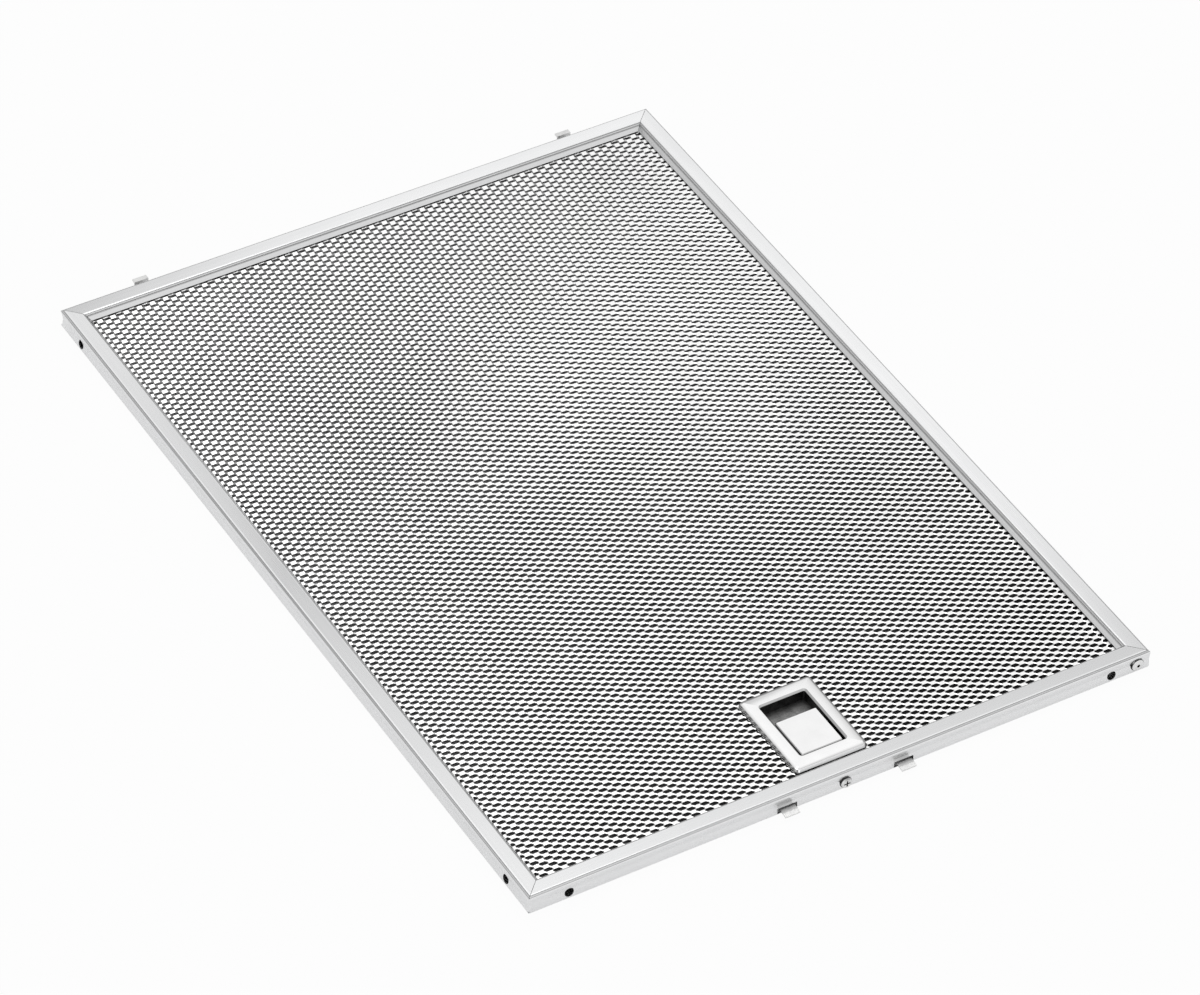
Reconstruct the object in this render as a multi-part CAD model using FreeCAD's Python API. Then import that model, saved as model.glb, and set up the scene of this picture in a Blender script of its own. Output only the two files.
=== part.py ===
import FreeCAD, Part
import math
import os

# Cooker hood grease filter, lying on its back with the kitchen side up.
# X runs along the short side, Y from the latch towards the hooks, Z up, in millimetres.
# The origin is the middle of the whole part's footprint, on the surface that it lies on.

# Frame strip: one roll-formed aluminium strip, bent round the mesh and closed by a rivet
frame_width = 277.0
frame_length = 380.0
frame_height = 9.0
sheet = 0.5
fold_radius = 1.2
flange_width = 6.5
shoulder_run = 1.3
shoulder_drop = 1.0
ledge_run = 0.2
ledge_drop = 0.05
lip_run = 1.3
lip_drop = 1.7
waist_depth = 0.45
corner_radius = 1.4
mitre_seam = 0.16
bend_relief = 0.15
lap_gap = 0.1
lap_length = 13.0
lap_height = 5.0
drain_hole_radius = 2.0
drain_hole_inset = 17.5
drain_hole_height = 3.4

# Closing rivet, through the near wall and the lap behind it
rivet_inset = 5.6
rivet_height = 3.9
rivet_shank_radius = 1.6
rivet_head_radius = 2.8
rivet_head_height = 0.9
rivet_crown_radius = 1.75
rivet_tail_radius = 2.1
rivet_tail_length = 2.2

# Mesh pack: raised mesh in front, flattened sheets behind it
mesh_inset = 5.0
mesh_thickness = 0.85
mesh_strand = 0.4
mesh_long_way = 6.0
mesh_short_way = 3.5
mesh_crest_share = 0.7
mesh_opening_length = 4.2
mesh_opening_width = 2.2
gap_every_column = 6
front_gap_every_row = 7
back_gap_every_row = 26
inner_gap_every_row = 104
inner_sheet_count = 3
layer_gap = 0.02

# Handle casting: a bright rim round a finger recess
bezel_width = 32.6
bezel_length = 43.0
bezel_height = 2.4
bezel_crown = 1.9
bezel_crown_steps = 2
bezel_corner_flat = 0.1
bezel_bevel = 0.7
bezel_lip_gap = 0.7
recess_width = 20.2
recess_length = 30.0
recess_corner = 0.8
well_wall = 1.1
well_end_wall = 2.7
screw_boss_wall = 1.0
screw_boss_clearance = 0.4
bay_clearance = 0.8
back_plate_thickness = 1.0
back_plate_chamfer = 1.5

# Fasteners of the handle
handle_screw_radius = 1.25
handle_screw_end_gap = 0.5
handle_screw_head_radius = 2.55
handle_screw_head_height = 0.9
cross_width = 0.6
cross_depth = 0.6
cross_length = 2.8
handle_screw_crown_radius = 1.9
plate_screw_radius = 0.9
plate_screw_length = 2.2
plate_screw_head_radius = 1.8
plate_screw_head_height = 0.8
plate_screw_inset = 2.2
screw_hole_clearance = 0.15
seat_gap = 0.02
overcut = 1.0

# Latch: a stamped plate with two tongues, moved by the thumb plate against two springs
latch_travel = 4.5
tongue_pitch = 52.0
tongue_width = 6.5
tongue_reach = 4.0
tongue_tip_length = 1.8
tongue_tip_drop = 0.45
tongue_level = 1.95
latch_sheet = 0.7
slot_side_gap = 1.15
slot_gap_below = 1.1
slot_gap_above = 0.65
crossbar_level = 3.4
crossbar_start = 1.6
crossbar_width = 2.6
tongue_relief = 0.4
arm_width = 11.0
arm_slot_clearance = 0.4
arm_end_margin = 7.0
arm_screw_gap = 0.3
screw_way_clearance = 0.45
bay_side_clearance = 1.7
bay_front_clearance = 0.3

# Thumb plate
thumb_side_gap = 0.8
thumb_length = 19.9
thumb_near_gap = 0.5
thumb_drop = 0.85
thumb_arm_gap = 0.35
thumb_wall = 0.8
thumb_edge = 0.45
thumb_corner = 0.8
stem_width = 6.0
stem_length = 3.0
stem_slot_gap = 0.05
stake_margin = 0.6
stake_height = 0.7

# Springs behind the crossbar
spring_outer_radius = 1.1
spring_wire_radius = 0.2
spring_turns = 4
spring_steps_per_turn = 8
spring_wire_sides = 4
spring_spread = 18.0
spring_rim_gap = 0.3
spring_tab_width = 3.0
spring_seat_gap = 0.05

# Rear hooks: bent strips that pass through the far wall
hook_pitch = 200.0
hook_sheet = 0.7
hook_root_width = 5.4
hook_tip_width = 6.3
hook_level = 2.85
hook_riser_reach = 2.7
hook_riser_lean = 0.6
hook_tip_level = 6.55
hook_reach = 5.2
hook_leg_top = 6.9
hook_slot_clearance = 0.35

# Worked-out places
frame_centre_y = (tongue_reach - hook_reach) / 2
near_wall_y = frame_centre_y - frame_length / 2
far_wall_y = frame_centre_y + frame_length / 2
lip_length = math.hypot(lip_run, lip_drop)
lip_end = flange_width + shoulder_run + ledge_run + lip_run
lip_depth = shoulder_drop + ledge_drop + lip_drop + sheet * lip_run / lip_length
pack_low = lip_depth + layer_gap
pack_high = frame_height - lip_depth - layer_gap
inner_room = pack_high - pack_low - 2 * mesh_thickness - (inner_sheet_count + 1) * layer_gap
inner_thickness = inner_room / inner_sheet_count
bezel_corner = bezel_crown + bezel_corner_flat
bezel_near = lip_end + bezel_lip_gap
recess_near = bezel_near + (bezel_length - recess_length) / 2
recess_far = recess_near + recess_length
recess_middle = recess_near + recess_length / 2
well_near = recess_near - well_end_wall
well_far = recess_far + well_end_wall
well_half_width = recess_width / 2 + well_wall
bezel_low = pack_high + seat_gap
bezel_top = bezel_low + bezel_height
back_plate_high = pack_low - seat_gap
back_plate_low = back_plate_high - back_plate_thickness
plate_screw_spread = well_half_width - plate_screw_inset
arm_top = bezel_low - arm_slot_clearance
arm_level = arm_top - latch_sheet
thumb_width = recess_width - 2 * thumb_side_gap
thumb_near = recess_near + thumb_near_gap
thumb_middle = thumb_near + thumb_length / 2
thumb_top = bezel_top - thumb_drop
thumb_low = arm_top + thumb_arm_gap
arm_end = thumb_middle + arm_end_margin
crossbar_end = crossbar_start + crossbar_width
crossbar_half_length = (tongue_pitch + tongue_width) / 2
slot_width = tongue_width + 2 * slot_side_gap
slot_low = tongue_level - slot_gap_below
slot_high = tongue_level + latch_sheet + slot_gap_above
spring_level = bezel_low - spring_rim_gap - spring_outer_radius
handle_screw_height = arm_level - arm_screw_gap - handle_screw_radius
handle_screw_length = recess_near - handle_screw_end_gap
screw_way = handle_screw_radius + screw_way_clearance
screw_boss_half = handle_screw_radius + screw_boss_wall
screw_boss_low = handle_screw_height - screw_boss_half


def near(distance):
    """Y at a distance inwards from the outer face of the near wall."""
    return near_wall_y + distance


def block(x0, x1, y0, y1, z0, z1):
    return Part.makeBox(x1 - x0, y1 - y0, z1 - z0, FreeCAD.Vector(x0, y0, z0))


def rounded_wire(width, length, radius, centre_y, z):
    """Closed rectangle with rounded corners, centred on x = 0."""
    half_w = width / 2
    half_l = length / 2
    edges = []
    for turn in range(4):
        across, along = (half_w, half_l) if turn % 2 == 0 else (half_l, half_w)
        start = FreeCAD.Vector(across, radius - along, z)
        straight_end = FreeCAD.Vector(across, along - radius, z)
        slack = radius * (1 - math.sqrt(0.5))
        corner = FreeCAD.Vector(across - slack, along - slack, z)
        arc_end = FreeCAD.Vector(across - radius, along, z)
        pieces = [Part.makeLine(start, straight_end), Part.Arc(straight_end, corner, arc_end).toShape()]
        for piece in pieces:
            piece.rotate(FreeCAD.Vector(0, 0, 0), FreeCAD.Vector(0, 0, 1), 90 * turn)
            edges.append(piece)
    wire = Part.Wire(Part.__sortEdges__(edges))
    wire.translate(FreeCAD.Vector(0, centre_y, 0))
    return wire


def rounded_block(width, length, radius, centre_y, z0, z1):
    face = Part.Face(rounded_wire(width, length, radius, centre_y, z0))
    return face.extrude(FreeCAD.Vector(0, 0, z1 - z0))


def cylinder_along_y(x, y0, y1, z, radius):
    return Part.makeCylinder(radius, y1 - y0, FreeCAD.Vector(x, y0, z), FreeCAD.Vector(0, 1, 0))


def turned(profile, base, axis):
    """Solid of revolution from (radius, distance along axis) points, set at base."""
    points = [FreeCAD.Vector(r, 0, s) for r, s in profile]
    solid = Part.Face(Part.makePolygon(points + points[:1])).revolve(
        FreeCAD.Vector(0, 0, 0), FreeCAD.Vector(0, 0, 1), 360)
    solid.Placement = FreeCAD.Placement(base, FreeCAD.Rotation(FreeCAD.Vector(0, 0, 1), axis))
    return solid


def strip_section():
    """Section of the frame strip at x = 0: y runs inwards from the outer wall, z up."""
    def at(inwards, below_top):
        return FreeCAD.Vector(0, inwards, frame_height - below_top)

    def mirrored(point):
        return FreeCAD.Vector(0, point.y, frame_height - point.z)

    shoulder_radius = (shoulder_run ** 2 + shoulder_drop ** 2) / (2 * shoulder_drop)
    half_sweep = math.asin(shoulder_run / shoulder_radius) / 2
    shoulder_middle = at(flange_width + shoulder_radius * math.sin(half_sweep),
                         shoulder_radius * (1 - math.cos(half_sweep)))
    fold_slack = fold_radius * (1 - math.sqrt(0.5))
    lip_edge = at(lip_end, shoulder_drop + ledge_drop + lip_drop)
    ledge_edge = at(flange_width + shoulder_run + ledge_run, shoulder_drop + ledge_drop)
    shoulder_edge = at(flange_width + shoulder_run, shoulder_drop)
    flange_edge = at(flange_width, 0)
    fold_top = at(fold_radius, 0)
    fold_middle = at(fold_slack, fold_slack)
    wall_top = at(0, fold_radius)
    waist_middle = at(waist_depth, frame_height / 2)

    def edges_of(place):
        return [
            Part.makeLine(place(lip_edge), place(ledge_edge)),
            Part.makeLine(place(ledge_edge), place(shoulder_edge)),
            Part.Arc(place(shoulder_edge), place(shoulder_middle), place(flange_edge)).toShape(),
            Part.makeLine(place(flange_edge), place(fold_top)),
            Part.Arc(place(fold_top), place(fold_middle), place(wall_top)).toShape(),
            Part.makeLine(place(wall_top), place(waist_middle)),
        ]

    edges = edges_of(lambda point: point) + edges_of(mirrored)
    outline = Part.Wire(Part.__sortEdges__(edges))
    return outline.makeOffset2D(-sheet, 2, True, True)


def section_between(low, high, deep):
    """What the section holds between two heights, no further inwards than deep."""
    return strip_section().common(block(-overcut, overcut, -overcut, deep, low, high))


def mitred(run, length):
    """A run with both ends cut to the corner's diagonal, less half a seam."""
    half_seam = mitre_seam / math.sqrt(2)
    past = length / 2 + overcut
    deep = lip_end + overcut
    tall = FreeCAD.Vector(0, 0, frame_height + 2 * overcut)
    for end in (-1, 1):
        outline = [
            (length / 2 - half_seam + overcut, -overcut),
            (past + overcut, -overcut),
            (past + overcut, deep),
            (length / 2 - half_seam - deep, deep),
        ]
        points = [FreeCAD.Vector(end * s, d, -overcut) for s, d in outline]
        run = run.cut(Part.Face(Part.makePolygon(points + points[:1])).extrude(tall))
    return run


def frame_run(length, start_trim, end_trim):
    """A straight side along x with its outer wall at y = 0.

    The wall stops short for the corner bends, and the flanges above and below it are mitred.
    """
    wall_low = fold_radius
    wall_high = frame_height - fold_radius
    wall = section_between(wall_low, wall_high, corner_radius)
    wall.translate(FreeCAD.Vector(start_trim - length / 2, 0, 0))
    pieces = [wall.extrude(FreeCAD.Vector(length - start_trim - end_trim, 0, 0))]
    lips = strip_section().cut(block(-overcut, overcut, -overcut, corner_radius, wall_low, wall_high))
    lips.translate(FreeCAD.Vector(-length / 2, 0, 0))
    pieces.append(mitred(lips.extrude(FreeCAD.Vector(length, 0, 0)), length))
    return pieces


def corner_bend(length):
    """The rounded vertical corner of the wall at the end of a run."""
    face = section_between(fold_radius, frame_height - fold_radius, corner_radius - bend_relief)
    face.translate(FreeCAD.Vector(length / 2 - corner_radius, 0, 0))
    pivot = FreeCAD.Vector(length / 2 - corner_radius, corner_radius, 0)
    return face.revolve(pivot, FreeCAD.Vector(0, 0, 1), 90)


def closing_lap(length, trim):
    """The narrowed end of the strip, bent in behind the wall that it is riveted to."""
    middle = frame_height / 2
    face = section_between(middle - lap_height / 2, middle + lap_height / 2, corner_radius - bend_relief)
    start = trim - length / 2
    face.translate(FreeCAD.Vector(start, 0, 0))
    pivot = FreeCAD.Vector(start, corner_radius, 0)
    axis = FreeCAD.Vector(0, 0, 1)
    bend = face.revolve(pivot, axis, -90)
    tail = face.copy()
    tail.rotate(pivot, axis, -90)
    return bend.fuse(tail.extrude(FreeCAD.Vector(0, lap_length, 0)))


def drain_holes():
    """One hole near each end of each side."""
    tools = []
    reach = waist_depth + sheet + overcut
    for side in (-1, 1):
        x = side * (frame_width / 2 - drain_hole_inset)
        y = side * (frame_length / 2 - drain_hole_inset)
        for wall in (-1, 1):
            across = FreeCAD.Vector(x, wall * frame_length / 2 - reach, drain_hole_height)
            along = FreeCAD.Vector(wall * frame_width / 2 - reach, y, drain_hole_height)
            tools.append(Part.makeCylinder(drain_hole_radius, 2 * reach, across, FreeCAD.Vector(0, 1, 0)))
            tools.append(Part.makeCylinder(drain_hole_radius, 2 * reach, along, FreeCAD.Vector(1, 0, 0)))
    for tool in tools:
        tool.translate(FreeCAD.Vector(0, frame_centre_y, 0))
    return tools


def wall_openings():
    """Latch slots, hook slots and the fastener holes of the near and far walls.

    The handle screw's way goes on through the lower lip, which it notches.
    """
    start = near(-overcut)
    deep = waist_depth + 2 * sheet + lap_gap + overcut
    tools = []
    for side in (-1, 1):
        x = side * tongue_pitch / 2
        tools.append(block(x - slot_width / 2, x + slot_width / 2, start, near(deep), slot_low, slot_high))
        x = side * hook_pitch / 2
        half = hook_root_width / 2 + hook_slot_clearance
        low = hook_level - hook_sheet / 2 - hook_slot_clearance
        high = hook_level + hook_sheet / 2 + hook_slot_clearance
        tools.append(block(x - half, x + half, far_wall_y - deep, far_wall_y + overcut, low, high))
    rivet_x = frame_width / 2 - rivet_inset
    screw_hole = handle_screw_radius + screw_hole_clearance
    rivet_hole = rivet_shank_radius + seat_gap
    tools.append(cylinder_along_y(0, start, near(lip_end + overcut), handle_screw_height, screw_hole))
    tools.append(cylinder_along_y(rivet_x, start, near(deep), rivet_height, rivet_hole))
    return tools


def frame_strip():
    lap_trim = sheet + lap_gap + corner_radius
    lengths = [frame_width, frame_length, frame_width, frame_length]
    inset = [frame_length / 2, frame_width / 2, frame_length / 2, frame_width / 2]
    starts = [corner_radius, lap_trim, corner_radius, corner_radius]
    ends = [0, corner_radius, corner_radius, corner_radius]
    pieces = []
    for side in range(4):
        local = frame_run(lengths[side], starts[side], ends[side])
        if ends[side]:
            local.append(corner_bend(lengths[side]))
        if starts[side] == lap_trim:
            local.append(closing_lap(lengths[side], lap_trim))
        for piece in local:
            piece.translate(FreeCAD.Vector(0, -inset[side], 0))
            piece.rotate(FreeCAD.Vector(0, 0, 0), FreeCAD.Vector(0, 0, 1), 90 * side)
            piece.translate(FreeCAD.Vector(0, frame_centre_y, 0))
            pieces.append(piece)
    strip = pieces[0].fuse(pieces[1:]).removeSplitter()
    return strip.cut(drain_holes() + wall_openings())


def corner_rivet():
    """Blind rivet with a bevelled head outside and a swollen tail behind the lap."""
    grip = waist_depth + 2 * sheet + lap_gap + seat_gap
    profile = [
        (0, -rivet_head_height),
        (rivet_crown_radius, -rivet_head_height),
        (rivet_head_radius, -seat_gap),
        (rivet_shank_radius, -seat_gap),
        (rivet_shank_radius, grip),
        (rivet_tail_radius, grip),
        (rivet_tail_radius, grip + rivet_tail_length),
        (0, grip + rivet_tail_length),
    ]
    base = FreeCAD.Vector(frame_width / 2 - rivet_inset, near_wall_y, rivet_height)
    return turned(profile, base, FreeCAD.Vector(0, 1, 0))


def pack_bay():
    """What the mesh leaves free round the latch and the handle's well."""
    latch_half = crossbar_half_length + bay_side_clearance
    latch_deep = near(crossbar_end + latch_travel + bay_front_clearance)
    well_half = well_half_width + bay_clearance
    well_deep = near(well_far + bay_clearance)
    latch = block(-latch_half, latch_half, near_wall_y, latch_deep, 0, frame_height)
    well = block(-well_half, well_half, near_wall_y, well_deep, 0, frame_height)
    return latch.fuse(well)


def mesh_rows():
    """Y of the foot of each row of meshes."""
    rows = int((frame_length - 2 * mesh_inset) / mesh_short_way)
    return [frame_centre_y + (row - rows / 2) * mesh_short_way for row in range(rows)]


def mesh_openings(every_row):
    """Diamond openings of single meshes, one in the slope of each chosen row, staggered row by row."""
    pitch_x = gap_every_column * mesh_long_way
    half_x = frame_width / 2 - lip_end - mesh_long_way
    half_y = frame_length / 2 - lip_end - mesh_long_way
    free_rows = [y for y in mesh_rows() if abs(y - frame_centre_y) < half_y]
    openings = []
    for number, foot in enumerate(free_rows[every_row // 2::every_row]):
        y = foot + mesh_crest_share * mesh_short_way / 2
        shift = pitch_x / 4 if number % 2 else -pitch_x / 4
        columns = int((half_x + abs(shift)) / pitch_x)
        for column in range(-columns, columns + 1):
            x = column * pitch_x + shift
            if abs(x) > half_x:
                continue
            corners = [
                FreeCAD.Vector(x - mesh_opening_length / 2, y, 0),
                FreeCAD.Vector(x, y - mesh_opening_width / 2, 0),
                FreeCAD.Vector(x + mesh_opening_length / 2, y, 0),
                FreeCAD.Vector(x, y + mesh_opening_width / 2, 0),
            ]
            diamond = Part.Face(Part.makePolygon(corners + corners[:1]))
            openings.append(diamond.extrude(FreeCAD.Vector(0, 0, frame_height)))
    return openings


def mesh_sheet(low, thickness, ridged, every_row):
    """A sheet of expanded metal; a ridged one has a leaning crest above for each row of meshes."""
    half_width = frame_width / 2 - mesh_inset
    near_y = near(mesh_inset)
    far_y = near(frame_length - mesh_inset)
    foot_z = low + (mesh_strand if ridged else thickness)
    top = [(near_y, foot_z)]
    if ridged:
        rows = mesh_rows()
        for foot in rows:
            if foot > near_y + layer_gap:
                top.append((foot, foot_z))
            top.append((foot + mesh_crest_share * mesh_short_way, low + thickness))
        top.append((rows[-1] + mesh_short_way, foot_z))
    if top[-1][0] < far_y - layer_gap:
        top.append((far_y, foot_z))
    outline = top + [(top[-1][0], low), (near_y, low)]
    points = [FreeCAD.Vector(-half_width, y, z) for y, z in outline]
    face = Part.Face(Part.makePolygon(points + points[:1]))
    solid = face.extrude(FreeCAD.Vector(2 * half_width, 0, 0))
    return solid.cut([pack_bay()] + mesh_openings(every_row))


def crowned_rim(centre):
    """The rim's block, its upper edge rounded off in short bevels."""
    wires = [rounded_wire(bezel_width, bezel_length, bezel_corner, centre, bezel_low)]
    for step in range(bezel_crown_steps + 1):
        turn = math.pi / 2 * step / bezel_crown_steps
        inset = bezel_crown * (1 - math.cos(turn))
        width = bezel_width - 2 * inset
        length = bezel_length - 2 * inset
        z = bezel_top - bezel_crown * (1 - math.sin(turn))
        wires.append(rounded_wire(width, length, bezel_corner - inset, centre, z))
    return Part.makeLoft(wires, True, True)


def handle_bezel():
    """Casting: crowned rim, walls of the finger recess, block for the screws and springs."""
    centre = near(recess_middle)
    rim = crowned_rim(centre)
    well = block(-well_half_width, well_half_width, near(well_near), near(well_far),
                 back_plate_high, bezel_low)
    screw_boss = block(-screw_boss_half, screw_boss_half, near(well_near), near(recess_near),
                       screw_boss_low, handle_screw_height)
    recess = rounded_block(recess_width, recess_length, recess_corner, centre, back_plate_high, bezel_top)
    low_wire = rounded_wire(recess_width, recess_length, recess_corner, centre, bezel_top - bezel_bevel)
    high_wire = rounded_wire(recess_width + 2 * bezel_bevel, recess_length + 2 * bezel_bevel,
                             recess_corner + bezel_bevel, centre, bezel_top)
    bevel = Part.makeLoft([low_wire, high_wire], True, True)
    arm_half = arm_width / 2 + arm_slot_clearance
    arm_way = block(-arm_half, arm_half, near(well_near - overcut), near(recess_near + overcut),
                    arm_level - arm_slot_clearance, bezel_low)
    screw_way_in = cylinder_along_y(0, near(well_near), near(recess_near), handle_screw_height,
                                    handle_screw_radius + seat_gap)
    casting = rim.fuse([well, screw_boss]).cut([recess, bevel, arm_way, screw_way_in])
    pilots = [Part.makeCylinder(plate_screw_radius + seat_gap, plate_screw_length,
                                FreeCAD.Vector(x, y, back_plate_high)) for x, y in plate_screw_places()]
    return casting.cut(pilots).removeSplitter()


def plate_screw_places():
    """One screw at each end of the well, on a diagonal."""
    near_y = near((well_near + recess_near) / 2)
    far_y = near((well_far + recess_far) / 2)
    return [(-plate_screw_spread, near_y), (plate_screw_spread, far_y)]


def handle_back_plate():
    """Flat plate behind the mesh that closes the recess."""
    half = bezel_width / 2
    plate = block(-half, half, near(bezel_near), near(bezel_near + bezel_length),
                  back_plate_low, back_plate_high)
    upright = [edge for edge in plate.Edges if edge.BoundBox.ZLength > back_plate_thickness / 2]
    plate = plate.makeChamfer(back_plate_chamfer, upright)
    holes = [Part.makeCylinder(plate_screw_radius + screw_hole_clearance, back_plate_thickness,
                               FreeCAD.Vector(x, y, back_plate_low)) for x, y in plate_screw_places()]
    notch_half = screw_boss_half + screw_boss_clearance
    notch = block(-notch_half, notch_half, near(bezel_near), near(recess_near + screw_boss_clearance),
                  back_plate_low, back_plate_high)
    return plate.cut(holes + [notch])


def handle_screw():
    """Cross-head screw through the near wall into the casting."""
    profile = [
        (0, -handle_screw_head_height),
        (handle_screw_crown_radius, -handle_screw_head_height),
        (handle_screw_head_radius, -seat_gap),
        (handle_screw_radius, -seat_gap),
        (handle_screw_radius, handle_screw_length),
        (0, handle_screw_length),
    ]
    solid = turned(profile, FreeCAD.Vector(0, near_wall_y, handle_screw_height), FreeCAD.Vector(0, 1, 0))
    half = cross_length / 2
    thin = cross_width / 2
    face_y = near(-handle_screw_head_height)
    floor_y = face_y + cross_depth
    z = handle_screw_height
    flat_bar = block(-half, half, face_y, floor_y, z - thin, z + thin)
    upright_bar = block(-thin, thin, face_y, floor_y, z - half, z + half)
    return solid.cut([flat_bar, upright_bar])


def back_plate_screws():
    """Short screws from behind, through the plate into the casting."""
    profile = [
        (0, -plate_screw_head_height),
        (plate_screw_head_radius, -plate_screw_head_height),
        (plate_screw_head_radius, -seat_gap),
        (plate_screw_radius, -seat_gap),
        (plate_screw_radius, back_plate_thickness + plate_screw_length - 2 * seat_gap),
        (0, back_plate_thickness + plate_screw_length - 2 * seat_gap),
    ]
    screws = [turned(profile, FreeCAD.Vector(x, y, back_plate_low), FreeCAD.Vector(0, 0, 1))
              for x, y in plate_screw_places()]
    return Part.makeCompound(screws)


def bent_strip(centre_line, thickness, x0, x1):
    """Flat strip bent along a (distance from near wall, height) line, from x0 to x1."""
    points = [FreeCAD.Vector(x0, near(d), z) for d, z in centre_line]
    outline = Part.makePolygon(points)
    face = outline.makeOffset2D(thickness / 2, 2, True, True)
    other = outline.makeOffset2D(-thickness / 2, 2, True, True)
    across = FreeCAD.Vector(x1 - x0, 0, 0)
    return face.extrude(across).fuse(other.extrude(across)).removeSplitter()


def latch_plate():
    """Stamped plate: two stepped tongues, the crossbar, the raised arm and two spring tabs."""
    half_sheet = latch_sheet / 2
    high = crossbar_level + half_sheet
    low = tongue_level + half_sheet
    step = crossbar_level - tongue_level
    crossbar = block(-crossbar_half_length, crossbar_half_length, near(crossbar_start), near(crossbar_end),
                     crossbar_level, crossbar_level + latch_sheet)
    step_start = crossbar_end - latch_sheet
    step_end = step_start - step / 2
    tongue_line = [
        (crossbar_end, high),
        (step_start, high),
        (step_end, low),
        (tongue_tip_length - tongue_reach, low),
        (-tongue_reach, low - tongue_tip_drop),
    ]
    tongues = []
    reliefs = []
    for side in (-1, 1):
        x = side * tongue_pitch / 2
        tongues.append(bent_strip(tongue_line, latch_sheet, x - tongue_width / 2, x + tongue_width / 2))
        relief_half = tongue_width / 2 + tongue_relief
        reliefs.append(block(x - relief_half, x + relief_half,
                             near(crossbar_start - overcut), near(step_start),
                             crossbar_level - overcut, crossbar_level + overcut))
    arm_high = arm_level + half_sheet
    rise = arm_level - crossbar_level
    arm_line = [
        (crossbar_start, high),
        (crossbar_end, high),
        (crossbar_end + rise, arm_high),
        (arm_end, arm_high),
    ]
    arm = bent_strip(arm_line, latch_sheet, -arm_width / 2, arm_width / 2)
    tabs = []
    for side in (-1, 1):
        x = side * spring_spread / 2
        tabs.append(block(x - spring_tab_width / 2, x + spring_tab_width / 2,
                          near(crossbar_end - latch_sheet), near(crossbar_end),
                          crossbar_level, spring_level + spring_outer_radius))
    screw_slot = block(-screw_way, screw_way, near(-tongue_reach), near(crossbar_end + rise + latch_sheet),
                       0, arm_level + latch_sheet)
    stem_slot = stem_block(stem_slot_gap, 0, frame_height)
    bar = crossbar.cut(reliefs)
    plate = bar.fuse(tongues + tabs + [arm])
    return plate.cut([screw_slot, stem_slot]).removeSplitter()


def stem_block(margin, low, high):
    """The thumb plate's stem with a margin all round, between two heights."""
    half_width = stem_width / 2 + margin
    half_length = stem_length / 2 + margin
    middle = near(thumb_middle)
    return block(-half_width, half_width, middle - half_length, middle + half_length, low, high)


def thumb_plate():
    """Bright cap: flat top with bevelled edges, hollow below, its stem staked under the arm."""
    centre = near(thumb_middle)
    cap = rounded_block(thumb_width, thumb_length, thumb_corner, centre, thumb_low, thumb_top)
    top_edges = [edge for edge in cap.Edges if edge.BoundBox.ZMin > thumb_top - seat_gap]
    cap = cap.makeChamfer(thumb_edge, top_edges)
    hollow = block(thumb_wall - thumb_width / 2, thumb_width / 2 - thumb_wall,
                   centre + thumb_wall - thumb_length / 2, centre + thumb_length / 2 - thumb_wall,
                   thumb_low, thumb_top - thumb_wall)
    stake_top = arm_level - seat_gap
    shoulder = stem_block(stake_margin, arm_top + seat_gap, thumb_top - thumb_wall)
    stem = stem_block(0, stake_top, arm_top + seat_gap)
    stake = stem_block(stake_margin, stake_top - stake_height, stake_top)
    return cap.cut(hollow).fuse([shoulder, stem, stake]).removeSplitter()


def latch_spring(side):
    """Compression spring between a tab of the crossbar and the handle's near block."""
    start = crossbar_end + spring_seat_gap + spring_wire_radius
    length = well_near - spring_seat_gap - spring_wire_radius - start
    radius = spring_outer_radius - spring_wire_radius
    steps = spring_turns * spring_steps_per_turn
    sections = []
    for step in range(steps + 1):
        turn = 2 * math.pi * step / spring_steps_per_turn
        corners = []
        for side_number in range(spring_wire_sides):
            round_wire = 2 * math.pi * side_number / spring_wire_sides
            from_axis = radius + spring_wire_radius * math.cos(round_wire)
            along = length * step / steps + spring_wire_radius * math.sin(round_wire)
            corners.append(FreeCAD.Vector(from_axis * math.cos(turn), along, from_axis * math.sin(turn)))
        sections.append(Part.makePolygon(corners + corners[:1]))
    coil = Part.makeLoft(sections, True, True)
    coil.translate(FreeCAD.Vector(side * spring_spread / 2, near(start), spring_level))
    return coil


def rear_hook(side):
    """Strip that stands behind the far wall, passes through its slot, rises and turns out."""
    x = side * hook_pitch / 2
    wall_inside = frame_length - waist_depth - sheet - seat_gap
    leg = wall_inside - hook_sheet / 2
    riser = frame_length + hook_riser_reach
    line = [
        (leg, hook_leg_top),
        (leg, hook_level),
        (riser, hook_level),
        (riser + hook_riser_lean, hook_tip_level),
        (frame_length + hook_reach, hook_tip_level),
    ]
    strip = bent_strip(line, hook_sheet, x - hook_tip_width / 2, x + hook_tip_width / 2)
    trims = []
    for end in (-1, 1):
        left, right = sorted((x + end * hook_root_width / 2, x + end * hook_tip_width))
        trims.append(block(left, right, near(wall_inside), near(frame_length + hook_reach),
                           0, hook_level + hook_sheet))
    return strip.cut(trims)


def mesh_layers():
    """The pack from back to front, each sheet lying on the one below."""
    layers = {"back_mesh": mesh_sheet(pack_low, mesh_thickness, False, back_gap_every_row)}
    low = pack_low + mesh_thickness + layer_gap
    for number in range(1, inner_sheet_count + 1):
        layers["inner_mesh_%d" % number] = mesh_sheet(low, inner_thickness, False, inner_gap_every_row)
        low += inner_thickness + layer_gap
    layers["front_mesh"] = mesh_sheet(low, mesh_thickness, True, front_gap_every_row)
    return layers


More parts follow.
